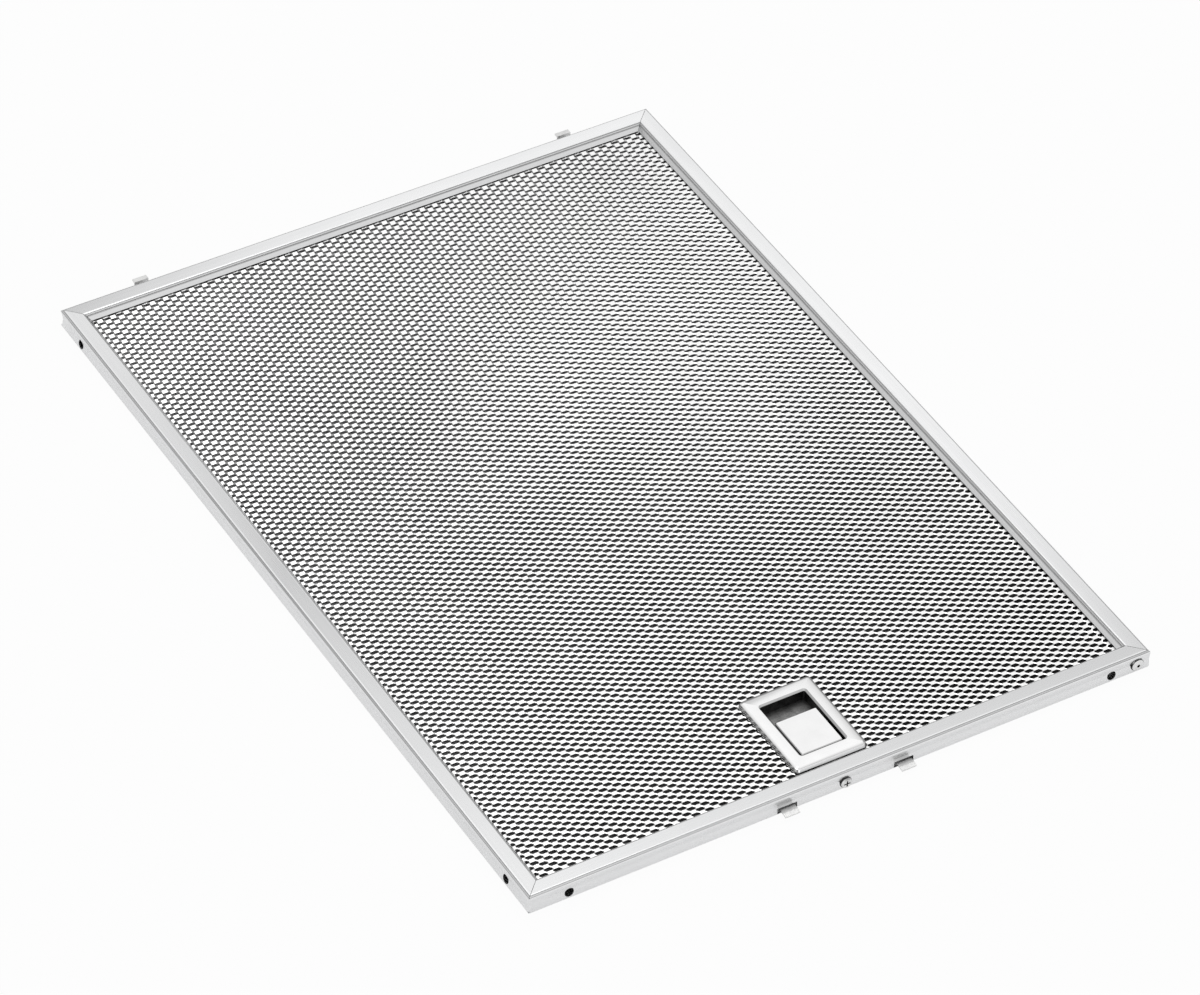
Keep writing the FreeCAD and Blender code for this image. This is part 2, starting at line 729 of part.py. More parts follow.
def main():
    os.makedirs("parts", exist_ok=True)
    nodes = {
        "frame_strip": frame_strip(),
        "corner_rivet": corner_rivet(),
        "handle_bezel": handle_bezel(),
        "handle_back_plate": handle_back_plate(),
        "back_plate_screws": back_plate_screws(),
        "handle_screw": handle_screw(),
        "latch_plate": latch_plate(),
        "thumb_plate": thumb_plate(),
        "latch_spring_left": latch_spring(-1),
        "latch_spring_right": latch_spring(1),
        "rear_hook_left": rear_hook(-1),
        "rear_hook_right": rear_hook(1),
    }
    nodes.update(mesh_layers())
    for name, shape in nodes.items():
        shape.exportStep("parts/%s.step" % name)


main()
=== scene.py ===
import math

import bmesh
import bpy
import numpy as np
from mathutils import Matrix, Vector


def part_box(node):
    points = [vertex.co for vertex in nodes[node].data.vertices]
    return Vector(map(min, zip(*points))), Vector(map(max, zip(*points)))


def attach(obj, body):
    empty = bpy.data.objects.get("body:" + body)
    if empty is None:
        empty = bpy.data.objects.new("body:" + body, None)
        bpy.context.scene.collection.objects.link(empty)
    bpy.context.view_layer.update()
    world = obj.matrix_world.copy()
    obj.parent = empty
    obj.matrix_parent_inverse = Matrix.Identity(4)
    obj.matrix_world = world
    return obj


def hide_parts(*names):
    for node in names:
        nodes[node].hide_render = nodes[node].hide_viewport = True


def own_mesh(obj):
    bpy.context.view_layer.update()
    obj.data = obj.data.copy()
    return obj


# Cooker hood grease filter: finishes, expanded mesh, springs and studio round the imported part.
# Lengths in the named values are millimetres, if nothing else is said; every Blender object is
# in metres.

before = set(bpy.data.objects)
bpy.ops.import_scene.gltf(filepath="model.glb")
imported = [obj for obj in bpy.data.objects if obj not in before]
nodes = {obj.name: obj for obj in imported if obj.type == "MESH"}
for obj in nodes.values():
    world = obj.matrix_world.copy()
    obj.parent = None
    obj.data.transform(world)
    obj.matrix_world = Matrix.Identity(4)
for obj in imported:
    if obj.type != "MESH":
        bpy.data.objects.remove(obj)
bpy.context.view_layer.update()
MM = 0.001

# Expanded mesh. The strands are wider round wide_place, and they lean, in degrees, by the first
# value at the latch's right end, the second at lean_turn and the third at the far left.
long_way = 6.0
short_way = 3.5
strand_widths = (0.95, 0.77)
wide_place = (75.0, 100.0)
wide_reach = (60.0, 150.0)
strand_thickness = 0.26
strand_lean = (8.0, 11.0, 19.0)
lean_slant = 0.45
lean_turn = 60.0
lean_reach = 200.0
bond_length = 2.2
inner_strand_width = 1.15
inner_shift = 1.4
mesh_hidden_rim = 7.0
bay_half_width = 13.5
bay_depth = 51.0
latch_half_width = 31.0
latch_reach = 9.6

# Camera, fitted to the photograph's 1200 by 995 frame
camera_place = (-1001.2, -1600.5, 1702.0)
camera_right = (0.86108, -0.50749, 0.03159)
camera_down = (-0.32028, -0.58960, -0.74148)
camera_lens = 192.2
camera_sensor = 36.0
camera_far_clip = 50.0 / MM

# Handle. Chrome is darkened from each top level down to its low level, painted shade towards the
# mesh; recess faces below the recess level get the painted hollow shade.
bezel_low, bezel_shade_top = 5.9, 8.2
thumb_low, thumb_shade_top = 6.3, 7.4
recess_shade_top = 7.5
recess_half_width = 10.2
recess_near_y, recess_far_y = -174.2, -144.0

# Screw, rivet and springs. The levels of the rivet's head are shares of its height, and its dome
# runs between two angles in degrees.
cross_reach = 1.5
cross_depth = 0.05
fastener_rim = 0.16
rivet_hole_radius = 0.7
rivet_hole_taper = 0.85
rivet_hole_floor, rivet_hole_edge, rivet_hole_top = 0.35, 0.38, 0.86
rivet_dome = (28.0, 82.0)
rivet_dome_steps = 9
rivet_skirt = 0.12
rivet_rim_gap = 0.3
rivet_shank_radius = 1.6
rivet_tail_radius = 2.1
rivet_tail_length = 2.2
spring_wire_radius = 0.2
spring_turns = 4

# Folded frame. The flange's bend is a share of flange_dish: at the near and far corners, in the
# middle of a side, and at the left and right corners.
flange_width = 6.5
flange_dish = 0.11
flange_bend = {"left": (0.5, 1.6, 0.3), "right": (1.0, 1.0, -0.9),
               "near": (0.3, 0.8, 1.1), "far": (1.0, 0.6, -0.9)}
roll_start, roll_end = 0.3, 1.6
roll_low, roll_high = 6.8, 8.8
roll_depth = 0.36
# Painted shade line along the lip's crease: its distance inward, its half width and its darkest
# level.
lip_shade_line = 7.9
lip_shade_half = 0.36
lip_shade_level = 0.25
grain_depth = 0.0004
frame_low, frame_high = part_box("frame_strip")
frame_middle_y = (frame_low.y + frame_high.y) / 2
near_wall_y = frame_low.y
half_width = (frame_high.x - frame_low.x) / 2 / MM
half_length = (frame_high.y - frame_low.y) / 2 / MM

# Finishes: the darkest and lightest colour of each metal, and its roughness from the low to the
# high end of the noise
strip_colours = (0.88, 0.884, 0.89), (0.915, 0.918, 0.922)
strip_rough = (0.30, 0.22)
strip_cloud_rough = (-0.03, 0.05)
strand_colours = (0.92, 0.92, 0.92), (0.985, 0.985, 0.98)
strand_rough = (0.30, 0.16)
# Painted shade: the inner sheets are near black and stand for the shade inside the pack; the gain
# below paints them lighter towards the hooks, painted light.
inner_shade_colours = (0.025, 0.025, 0.026), (0.06, 0.06, 0.06)
inner_rough = (0.65, 0.5)
inner_far_light_gain = 7.0
chrome_colours = (0.90, 0.90, 0.90), (0.95, 0.95, 0.95)
chrome_rough = (0.06, 0.14)
# Painted shade: chrome is darkened to this share at its low level, towards the mesh.
chrome_low_shade = 0.45
zinc_colours = (0.76, 0.76, 0.76), (0.96, 0.96, 0.95)
screw_colours = (0.78, 0.78, 0.78), (0.92, 0.92, 0.91)
# Painted shade: near black zinc for the handle's recess, the bezel's foot and the screw's and
# rivet's hollows and rims.
hollow_shade_colours = (0.03, 0.03, 0.03), (0.12, 0.12, 0.118)
# Painted shade: the zinc of the handle's well is darkened to the shade it lies in.
well_shade_colours = (0.14, 0.14, 0.14), (0.36, 0.36, 0.355)
zinc_rough = (0.48, 0.3)
rivet_colours = (0.84, 0.84, 0.84), (0.92, 0.92, 0.92)
rivet_rough = (0.32, 0.2)
wire_colours = (0.50, 0.50, 0.51), (0.70, 0.70, 0.70)
wire_rough = (0.35, 0.22)
paper_colour = (0.92, 0.92, 0.925)
white = (1.0, 1.0, 1.0, 1.0)
whole = (0.0, 1.0)
noise_spread = (0.3, 0.7)
narrow_spread = (0.35, 0.65)
chrome_spread = (0.35, 0.75)

# Studio, in metres and watts: the middle of the room's bright side, and the levels round it by
# the cosine of the angle
bright_side = (0.25, 0.42, 0.87)
room_levels = [(0.0, 0.95), (0.2, 0.80), (0.4, 0.44), (0.6, 0.25), (0.76, 0.30), (0.87, 0.68),
               (0.945, 0.95), (0.98, 1.02)]
room_strength = 1.0
floor_half = 6.0
floor_seen = 0.95
floor_mirrored = 0.44
soft_box_place = (0.0, 0.26, 1.68)
soft_box_size = 1.05
soft_box_power = 3.9

# Meshing: angles in degrees below which a bend is shaded smooth, and joining distances
strip_smooth_angle = 35.0
round_smooth_angle = 40.0
join_distance = 0.001
strand_join_distance = 0.002


# Shader helpers

def new_material(name):
    """An empty node material and its tree."""
    material = bpy.data.materials.new(name)
    material.use_nodes = True
    material.node_tree.nodes.clear()
    return material, material.node_tree


def feed(tree, value, socket):
    """Links a socket's value, or sets a number."""
    if isinstance(value, (int, float)):
        socket.default_value = value
    else:
        tree.links.new(value, socket)


def math_node(tree, operation, *operands):
    """A Math node whose operands are sockets or numbers."""
    node = tree.nodes.new("ShaderNodeMath")
    node.operation = operation
    for operand, socket in zip(operands, node.inputs):
        feed(tree, operand, socket)
    return node.outputs[0]


def scaled(tree, vector, factor):
    """A vector or colour times a factor."""
    node = tree.nodes.new("ShaderNodeVectorMath")
    node.operation = "SCALE"
    tree.links.new(vector, node.inputs[0])
    feed(tree, factor, node.inputs["Scale"])
    return node.outputs[0]


def parts(tree, vector):
    """The x, y and z of a vector."""
    split = tree.nodes.new("ShaderNodeSeparateXYZ")
    tree.links.new(vector, split.inputs[0])
    return split.outputs["X"], split.outputs["Y"], split.outputs["Z"]


def joined(tree, *values):
    """A vector from its x, y and z."""
    node = tree.nodes.new("ShaderNodeCombineXYZ")
    for value, socket in zip(values, node.inputs):
        tree.links.new(value, socket)
    return node.outputs[0]


def remap(tree, value, source, target):
    """A value carried from one range to another and held at its ends."""
    node = tree.nodes.new("ShaderNodeMapRange")
    node.clamp = True
    for label, number in zip(("From Min", "From Max", "To Min", "To Max"), (*source, *target)):
        node.inputs[label].default_value = number
    tree.links.new(value, node.inputs["Value"])
    return node.outputs["Result"]


def noise(tree, vector, scale, detail, roughness):
    node = tree.nodes.new("ShaderNodeTexNoise")
    for label, number in (("Scale", scale), ("Detail", detail), ("Roughness", roughness)):
        node.inputs[label].default_value = number
    tree.links.new(vector, node.inputs["Vector"])
    return node.outputs["Fac"]


def colour_between(tree, share, colours):
    node = tree.nodes.new("ShaderNodeMix")
    node.data_type = "RGBA"
    sockets = [s for s in node.inputs if s.type == "RGBA"]
    for socket, colour in zip(sockets, colours):
        socket.default_value = (*colour, 1.0)
    tree.links.new(share, node.inputs[0])
    return [s for s in node.outputs if s.type == "RGBA"][0]


def mixed(tree, first, second, share):
    """Two values added, the first by its share and the second by the rest."""
    return math_node(tree, "ADD", math_node(tree, "MULTIPLY", first, share),
                     math_node(tree, "MULTIPLY", second, 1.0 - share))


def either(tree, chosen, yes, no):
    """yes where chosen is 1, no where it is 0."""
    change = math_node(tree, "SUBTRACT", yes, no)
    return math_node(tree, "ADD", no, math_node(tree, "MULTIPLY", chosen, change))


def squared(tree, value):
    return math_node(tree, "MULTIPLY", value, value)


def new_group(name, inputs, outputs):
    """A shader node group with a vector, named values and named results."""
    group = bpy.data.node_groups.new(name, "ShaderNodeTree")
    group.interface.new_socket("Vector", in_out="INPUT", socket_type="NodeSocketVector")
    for label, value in inputs:
        socket = group.interface.new_socket(label, in_out="INPUT", socket_type="NodeSocketFloat")
        socket.default_value = value
    for label in outputs:
        group.interface.new_socket(label, in_out="OUTPUT", socket_type="NodeSocketFloat")
    given = group.nodes.new("NodeGroupInput")
    result = group.nodes.new("NodeGroupOutput")
    return group, given.outputs, result.inputs


def use_group(tree, group, vector, **values):
    """The results of a group that is fed with a vector and values of its own."""
    node = tree.nodes.new("ShaderNodeGroup")
    node.node_tree = group
    tree.links.new(vector, node.inputs["Vector"])
    for key, value in values.items():
        node.inputs[key.replace("_", " ").title()].default_value = value
    return node.outputs


def rolled_lines_group():
    """Fine lines left by the rolls, drawn out along the first axis of the vector."""
    group, given, result = new_group(
        "rolled_lines", [("Line Width", 0.4), ("Line Length", 60.0)], ["Lines", "Bands"])
    x, y, z = parts(group, given["Vector"])
    drawn_out = joined(group, math_node(group, "DIVIDE", x, given["Line Length"]),
                       math_node(group, "DIVIDE", y, given["Line Width"]),
                       math_node(group, "DIVIDE", z, given["Line Width"]))
    lines = noise(group, drawn_out, scale=1.0, detail=3.0, roughness=0.6)
    bands = noise(group, drawn_out, scale=0.22, detail=1.0, roughness=0.5)
    group.links.new(lines, result["Lines"])
    group.links.new(bands, result["Bands"])
    return group


def mottle_group():
    """Cloudy and speckled variation of a handled metal surface."""
    group, given, result = new_group(
        "mottle", [("Cloud Size", 20.0), ("Speck Size", 0.6)], ["Clouds", "Specks"])
    for size, detail, label in (("Cloud Size", 3.0, "Clouds"), ("Speck Size", 2.0, "Specks")):
        place = scaled(group, given["Vector"], math_node(group, "DIVIDE", 1.0, given[size]))
        spots = noise(group, place, scale=1.0, detail=detail, roughness=0.55)
        group.links.new(spots, result[label])
    return group


rolled_lines = rolled_lines_group()
mottle = mottle_group()


def millimetres(tree):
    """Object coordinates in millimetres, which are the CAD's own."""
    return scaled(tree, tree.nodes.new("ShaderNodeTexCoord").outputs["Object"], 1 / MM)


def metal(tree, base, rough, height, depth, strength):
    """A metal shader with its colour, roughness and bump; depth in millimetres."""
    bump = tree.nodes.new("ShaderNodeBump")
    bump.inputs["Strength"].default_value = strength
    bump.inputs["Distance"].default_value = depth * MM
    tree.links.new(height, bump.inputs["Height"])
    shader = tree.nodes.new("ShaderNodeBsdfPrincipled")
    shader.inputs["Metallic"].default_value = 1.0
    tree.links.new(base, shader.inputs["Base Color"])
    tree.links.new(rough, shader.inputs["Roughness"])
    tree.links.new(bump.outputs[0], shader.inputs["Normal"])
    output = tree.nodes.new("ShaderNodeOutputMaterial")
    tree.links.new(shader.outputs[0], output.inputs["Surface"])


# Finishes

def bend_along(tree, corner_way, levels):
    """The flange's bend along a side, from corner_way 0 over 1 to 2."""
    first, middle, last = levels
    return math_node(tree, "ADD", remap(tree, corner_way, (0.0, 1.0), (first, middle)),
                     remap(tree, corner_way, (1.0, 2.0), (0.0, last - middle)))


def frame_aluminium():
    """Satin strip with rolling lines that follow each side of the frame."""
    material, tree = new_material("satin_strip_aluminium")
    place = millimetres(tree)
    x, y, z = parts(tree, place)
    from_middle = math_node(tree, "SUBTRACT", y, frame_middle_y / MM)
    from_side = math_node(tree, "SUBTRACT", half_width, math_node(tree, "ABSOLUTE", x))
    from_end = math_node(tree, "SUBTRACT", half_length, math_node(tree, "ABSOLUTE", from_middle))
    inward = math_node(tree, "MINIMUM", from_side, from_end)
    long_side = math_node(tree, "LESS_THAN", from_side, from_end)
    to_right = math_node(tree, "GREATER_THAN", x, 0.0)
    to_far = math_node(tree, "GREATER_THAN", from_middle, 0.0)

    # Colour and roughness from the rolling lines, with a painted shade line in the crease where the
    # lip is folded back
    grain = joined(tree, either(tree, long_side, y, x), either(tree, long_side, x, y), z)
    lines = use_group(tree, rolled_lines, grain, line_width=0.35, line_length=70.0)
    clouds = use_group(tree, mottle, place, cloud_size=28.0, speck_size=0.5)
    streaks = mixed(tree, lines["Lines"], lines["Bands"], share=0.55)
    base = colour_between(tree, remap(tree, streaks, noise_spread, whole), strip_colours)
    from_shade_line = math_node(tree, "ABSOLUTE", math_node(tree, "SUBTRACT", inward, lip_shade_line))
    shade = remap(tree, from_shade_line, (0.0, lip_shade_half), (lip_shade_level, 1.0))
    rough = math_node(tree, "ADD", remap(tree, streaks, noise_spread, strip_rough),
                      remap(tree, clouds["Clouds"], noise_spread, strip_cloud_rough))

    # Height: dished flanges, the soft outer fold of the near and left sides, and the grain
    corner_way = math_node(tree, "ABSOLUTE", math_node(
        tree, "SUBTRACT", math_node(tree, "DIVIDE", from_middle, half_length),
        math_node(tree, "DIVIDE", x, half_width)))
    bends = {side: bend_along(tree, corner_way, levels) for side, levels in flange_bend.items()}
    bend = either(tree, long_side, either(tree, to_right, bends["right"], bends["left"]),
                  either(tree, to_far, bends["far"], bends["near"]))
    on_flange = math_node(tree, "MINIMUM", inward, flange_width)
    dish = math_node(tree, "MULTIPLY", math_node(tree, "MULTIPLY", on_flange, -flange_dish), bend)
    near_or_left = math_node(tree, "SUBTRACT", 1.0, either(tree, long_side, to_right, to_far))
    over_flange = squared(tree, remap(tree, inward, (roll_start, roll_end), (1.0, 0.0)))
    up_wall = squared(tree, remap(tree, z, (roll_low, roll_high), whole))
    fold = math_node(tree, "MULTIPLY", over_flange, up_wall)
    sunk = math_node(tree, "MULTIPLY", fold, -roll_depth)
    rolled = math_node(tree, "MULTIPLY", sunk, near_or_left)
    grain_height = math_node(tree, "MULTIPLY", lines["Lines"], grain_depth)
    height = math_node(tree, "ADD", math_node(tree, "ADD", dish, rolled), grain_height)
    metal(tree, scaled(tree, base, shade), rough, height, depth=1.0, strength=1.0)
    return material


# Painted light: the colour grows lighter across the pack towards the hooks.
def painted_light_towards_hooks(tree, place, base, far_light_gain):
    x, y, _ = parts(tree, place)
    slanted = math_node(tree, "SUBTRACT", y, math_node(tree, "MULTIPLY", x, lean_slant))
    return scaled(tree, base, remap(tree, slanted, (-lean_reach, lean_reach), (1.0, far_light_gain)))


def mesh_aluminium(name, colours, roughness, far_light_gain=1.0):
    """Raw expanded aluminium, made the given gain times as light at the hooks as at the latch: a
    painted light gradient.
    """
    material, tree = new_material(name)
    place = millimetres(tree)
    spots = use_group(tree, mottle, place, cloud_size=45.0, speck_size=0.9)
    cover = mixed(tree, spots["Clouds"], spots["Specks"], share=0.4)
    base = colour_between(tree, remap(tree, cover, narrow_spread, whole), colours)
    if far_light_gain != 1.0:
        base = painted_light_towards_hooks(tree, place, base, far_light_gain)
    rough = remap(tree, spots["Specks"], noise_spread, roughness)
    metal(tree, base, rough, spots["Specks"], depth=0.07, strength=0.8)
    return material


def mirror_chrome(name, low, full):
    """Plated casting: a mirror with slight waves and dull specks, darker below a height with
    painted shade towards the mesh.
    """
    material, tree = new_material(name)
    place = millimetres(tree)
    spots = use_group(tree, mottle, place, cloud_size=9.0, speck_size=0.35)
    base = colour_between(tree, remap(tree, spots["Clouds"], noise_spread, whole), chrome_colours)
    # Painted shade, darker towards the low level next to the mesh.
    painted_low_shade = remap(tree, parts(tree, place)[2], (low, full), (chrome_low_shade, 1.0))
    rough = remap(tree, spots["Specks"], chrome_spread, chrome_rough)
    metal(tree, scaled(tree, base, painted_low_shade), rough, spots["Clouds"], depth=0.01, strength=0.12)
    return material


def zinc_steel(name, colours):
    """Dull, mottled zinc of the stampings; with dark colours it paints the shade of the handle's
    well and recess and of the screw's and rivet's hollows.
    """
    material, tree = new_material(name)
    spots = use_group(tree, mottle, millimetres(tree), cloud_size=3.5, speck_size=0.5)
    cover = mixed(tree, spots["Clouds"], spots["Specks"], share=0.5)
    base = colour_between(tree, remap(tree, cover, narrow_spread, whole), colours)
    rough = remap(tree, spots["Specks"], noise_spread, zinc_rough)
    metal(tree, base, rough, cover, depth=0.05, strength=0.4)
    return material


def rivet_aluminium():
    """Bright drawn aluminium of the rivet."""
    material, tree = new_material("drawn_rivet_aluminium")
    spots = use_group(tree, mottle, millimetres(tree), cloud_size=2.5, speck_size=0.25)
    base = colour_between(tree, remap(tree, spots["Clouds"], noise_spread, whole), rivet_colours)
    rough = remap(tree, spots["Specks"], noise_spread, rivet_rough)
    metal(tree, base, rough, spots["Specks"], depth=0.02, strength=0.3)
    return material


def spring_steel():
    """Bright drawn wire with fine lines."""
    material, tree = new_material("drawn_spring_wire")
    lines = use_group(tree, rolled_lines, millimetres(tree), line_width=0.08, line_length=2.0)
    base = colour_between(tree, remap(tree, lines["Lines"], noise_spread, whole), wire_colours)
    rough = remap(tree, lines["Bands"], noise_spread, wire_rough)
    metal(tree, base, rough, lines["Lines"], depth=0.01, strength=0.3)
    return material


strip_finish = frame_aluminium()
strand_finish = mesh_aluminium("raw_strand_aluminium", strand_colours, strand_rough)
# Painted shade and light: dark inner sheets, painted lighter towards the hooks.
inner_shade_finish = mesh_aluminium("painted_shade_inner_aluminium", inner_shade_colours, inner_rough, inner_far_light_gain)
bezel_finish = mirror_chrome("mirror_chrome_rim", bezel_low, bezel_shade_top)
thumb_finish = mirror_chrome("mirror_chrome_cap", thumb_low, thumb_shade_top)
zinc_finish = zinc_steel("mottled_zinc", zinc_colours)
screw_finish = zinc_steel("bright_zinc", screw_colours)
# Painted shade of the recess, the bezel's foot and the fastener hollows.
hollow_shade_finish = zinc_steel("painted_hollow_shade", hollow_shade_colours)
# Painted shade: the handle's well is zinc darkened to its shade.
well_shade_finish = zinc_steel("painted_shade_well_zinc", well_shade_colours)
rivet_finish = rivet_aluminium()
wire_finish = spring_steel()


# Pieces

def give_finish(mesh, finish):
    mesh.materials.clear()
    mesh.materials.append(finish)


def link_piece(name, mesh, finish, body, replaced):
    """A piece that rides on a body and stands for a node."""
    piece = bpy.data.objects.new(name, mesh)
    bpy.context.scene.collection.objects.link(piece)
    give_finish(mesh, finish)
    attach(piece, body)
    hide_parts(replaced)
    return piece


def round_node(node):
    """The x and z of a round node's axis, which is square to the near wall, and its radius."""
    low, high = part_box(node)
    return (low.x + high.x) / 2 / MM, (low.z + high.z) / 2 / MM, (high.x - low.x) / 2 / MM


def finish_where(piece, finish, chosen):
    """Another finish for the faces whose middle, in millimetres, is chosen."""
    piece.data.materials.append(finish)
    for face in piece.data.polygons:
        if chosen(face.center / MM):
            face.material_index = 1


def in_recess(place):
    inside = abs(place.x) < recess_half_width and recess_near_y < place.y < recess_far_y
    return place.z < (recess_shade_top if inside else bezel_low)


def in_cross_or_rim(place):
    x, z, radius = round_node("handle_screw")
    from_axis = math.hypot(place.x - x, place.z - z)
    sunk = place.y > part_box("handle_screw")[0].y / MM + cross_depth
    return from_axis > radius - fastener_rim or (from_axis < cross_reach and sunk)


def in_rivet_hole_or_rim(place):
    x, z, radius = round_node("corner_rivet")
    from_axis = math.hypot(place.x - x, place.z - z)
    outside = place.y < near_wall_y / MM
    return from_axis > radius - fastener_rim or (from_axis < rivet_hole_radius and outside)


def smooth_copy(node, name, finish, body, angle):
    """The CAD node's own form with smooth shading across its small facets."""
    source = nodes[node].data
    mesh = bpy.data.meshes.new(name)
    mesh.from_pydata([v.co for v in source.vertices], [],
                     [tuple(f.vertices) for f in source.polygons])
    work = bmesh.new()
    work.from_mesh(mesh)
    bmesh.ops.remove_doubles(work, verts=work.verts, dist=join_distance * MM)
    limit = math.radians(angle)
    for face in work.faces:
        face.smooth = True
    for edge in work.edges:
        edge.smooth = len(edge.link_faces) == 2 and edge.calc_face_angle(0.0) < limit
    work.to_mesh(mesh)
    work.free()
    piece = link_piece(name, mesh, finish, body, node)
    weighted = piece.modifiers.new("flat_faces_stay_flat", "WEIGHTED_NORMAL")
    weighted.keep_sharp = True
    weighted.weight = 100
    return piece


def strand_stations(half_x, shift):
    """The x of each end of a strand's bonds, and the side of the strand that the bond is on."""
    stations = []
    periods = int(half_x / long_way)
    for period in range(-periods - 1, periods + 2):
        for middle, side in ((0.0, 1), (long_way / 2, -1)):
            bond = period * long_way + shift + middle
            stations += [(bond - bond_length / 2, side), (bond + bond_length / 2, side)]
    stations = [s for s in stations if abs(s[0]) <= half_x]
    return np.array([s[0] for s in stations]), np.array([s[1] for s in stations], float)


def over_handle(x, from_wall):
    """Where the handle and its latch leave no room for strands."""
    in_bay = abs(x) < bay_half_width and from_wall < bay_depth
    in_latch = abs(x) < latch_half_width and from_wall < latch_reach
    return in_bay or in_latch


def expanded_sheet(low, high, widths, thickness, leans, upward, shift, solid):
    """Vertices and quads of a sheet of expanded metal, in millimetres.

    Every strand runs along x in a zigzag and leans about x; neighbours meet in flat bonds. A solid
    sheet has box-shaped strands between its bonds, another one is a bare surface.
    """
    step = short_way / 2
    middle_z = (low + high) / 2
    rows = int((half_length - mesh_hidden_rim) / step)
    xs, wave = strand_stations(half_width - mesh_hidden_rim, shift)
    points = []
    quads = []
    for row in range(-rows, rows + 1):
        side = 1 if row % 2 == 0 else -1
        middle_y = frame_middle_y / MM + row * step
        slanted = middle_y - lean_slant * xs
        lean = np.radians(np.interp(slanted, (-lean_reach, lean_turn, lean_reach), leans))
        from_wide = np.hypot(xs - wide_place[0], middle_y - wide_place[1])
        width = np.interp(from_wide, wide_reach, widths)
        y = middle_y + side * wave * (step - width * np.cos(lean)) / 2
        z = middle_z - side * wave * width / 2 * np.sin(lean)
        base = len(points)
        for x, cy, cz, turn, across in zip(xs, y, z, lean, width):
            for edge, face in ((-1, 1), (1, 1), (1, -1), (-1, -1)):
                out, up = edge * across / 2, face * thickness / 2
                along = out * math.cos(turn) - up * math.sin(turn)
                above = out * math.sin(turn) + up * math.cos(turn)
                height = cz + above if upward else 2 * middle_z - cz - above
                points.append((x, cy + along, height))
        for index in range(len(xs) - 1):
            if over_handle((xs[index] + xs[index + 1]) / 2, y[index] - near_wall_y / MM):
                continue
            here = base + 4 * index
            there = here + 4
            quads.append((here, there, there + 1, here + 1))
            if solid and wave[index] != wave[index + 1]:
                for corner in (1, 2, 3):
                    following = (corner + 1) % 4
                    quads.append((here + corner, there + corner,
                                  there + following, here + following))
    return points, quads


def mesh_piece(name, node, finish, **form):
    low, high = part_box(node)
    points, quads = expanded_sheet(low.z / MM, high.z / MM, **form)
    mesh = bpy.data.meshes.new(name)
    mesh.from_pydata([(x * MM, y * MM, z * MM) for x, y, z in points], [], quads)
    work = bmesh.new()
    work.from_mesh(mesh)
    bmesh.ops.remove_doubles(work, verts=work.verts, dist=strand_join_distance * MM)
    loose = [v for v in work.verts if not v.link_faces]
    bmesh.ops.delete(work, geom=loose, context="VERTS")
    bmesh.ops.recalc_face_normals(work, faces=work.faces)
    work.to_mesh(mesh)
    work.free()
    return link_piece(name, mesh, finish, "filter", node)


def round_mesh(name, points, faces):
    """A smooth mesh from points in millimetres, with its double points joined."""
    mesh = bpy.data.meshes.new(name)
    mesh.from_pydata([(x * MM, y * MM, z * MM) for x, y, z in points], [], faces)
    work = bmesh.new()
    work.from_mesh(mesh)
    bmesh.ops.remove_doubles(work, verts=work.verts, dist=join_distance * MM)
    bmesh.ops.recalc_face_normals(work, faces=work.faces)
    limit = math.radians(round_smooth_angle)
    for face in work.faces:
        face.smooth = True
    for edge in work.edges:
        edge.smooth = edge.calc_face_angle(0.0) < limit
    work.to_mesh(mesh)
    work.free()
    return mesh


def rivet_profile():
    """(radius, distance behind the near wall): domed head with a mandrel hole, shank and tail."""
    low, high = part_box("corner_rivet")
    radius = round_node("corner_rivet")[2]
    face = (low.y - near_wall_y) / MM
    end = (high.y - near_wall_y) / MM
    tail = end - rivet_tail_length
    rim = radius - rivet_rim_gap
    hole = [(0.0, face * rivet_hole_floor),
            (rivet_hole_radius * rivet_hole_taper, face * rivet_hole_edge),
            (rivet_hole_radius, face * rivet_hole_top)]
    dome = [(radius * math.sin(turn), face * math.cos(turn))
            for turn in np.radians(np.linspace(*rivet_dome, rivet_dome_steps))]
    skirt = [(radius, face * rivet_skirt), (rim, face * rivet_skirt), (rim, 0.0)]
    shank = [(rivet_shank_radius, 0.0), (rivet_shank_radius, tail), (rivet_tail_radius, tail),
             (rivet_tail_radius, end), (0.0, end)]
    return hole + dome + skirt + shank


def turned_piece(node, name, profile, finish, steps=48):
    """A form turned about the node's axis, square to the near wall."""
    x, z, _ = round_node(node)
    points = []
    faces = []
    for step in range(steps):
        turn = 2 * math.pi * step / steps
        points += [(x + radius * math.cos(turn), near_wall_y / MM + depth,
                    z + radius * math.sin(turn)) for radius, depth in profile]
        here = step * len(profile)
        there = (step + 1) % steps * len(profile)
        faces += [(here + n, there + n, there + n + 1, here + n + 1)
                  for n in range(len(profile) - 1)]
    return link_piece(name, round_mesh(name, points, faces), finish, "filter", node)


